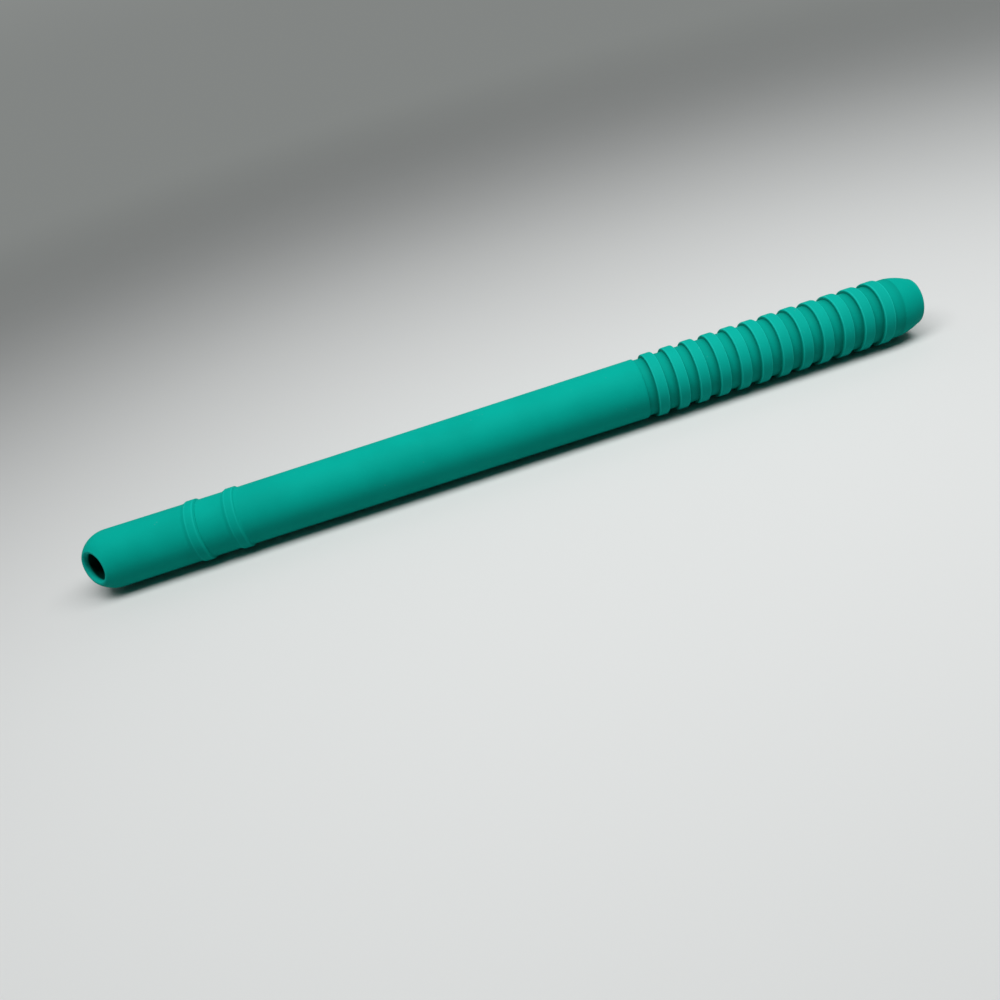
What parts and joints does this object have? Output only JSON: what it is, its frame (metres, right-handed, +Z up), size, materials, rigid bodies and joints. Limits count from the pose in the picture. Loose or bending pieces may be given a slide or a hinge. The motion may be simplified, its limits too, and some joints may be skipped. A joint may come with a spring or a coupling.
{
  "type": "stylus sleeve",
  "caption": "Soft round sleeve for a tablet stylus: domed pull-off rear cap with a vent, smooth barrel, ribbed finger grip and tapered nose ring.",
  "frame": {"origin": "on the table under the middle of the sleeve's length", "axes": "+X along the sleeve from the domed rear end to the nose, +Z up, the vent facing the front (-Y) and up"},
  "size_m": [0.1582, 0.0118, 0.0117],
  "materials": {
    "silicone": "matte teal silicone",
    "ferrule": "fine turned aluminium"
  },
  "bodies": {
    "barrel": {"barrel": "silicone", "rear_ferrule": "ferrule", "front_ferrule": "ferrule"},
    "rear_cap": {"rear_cap": "silicone"},
    "grip": {"grip": "silicone", "nose_ring": "silicone"}
  },
  "joints": [
    {"name": "cap_pull", "type": "slide", "parent": "barrel", "child": "rear_cap", "axis": [-1, 0, 0], "range_m": [0, 0.04]},
    {"name": "grip_pull", "type": "slide", "parent": "barrel", "child": "grip", "axis": [1, 0, 0], "range_m": [0, 0.03]}
  ]
}
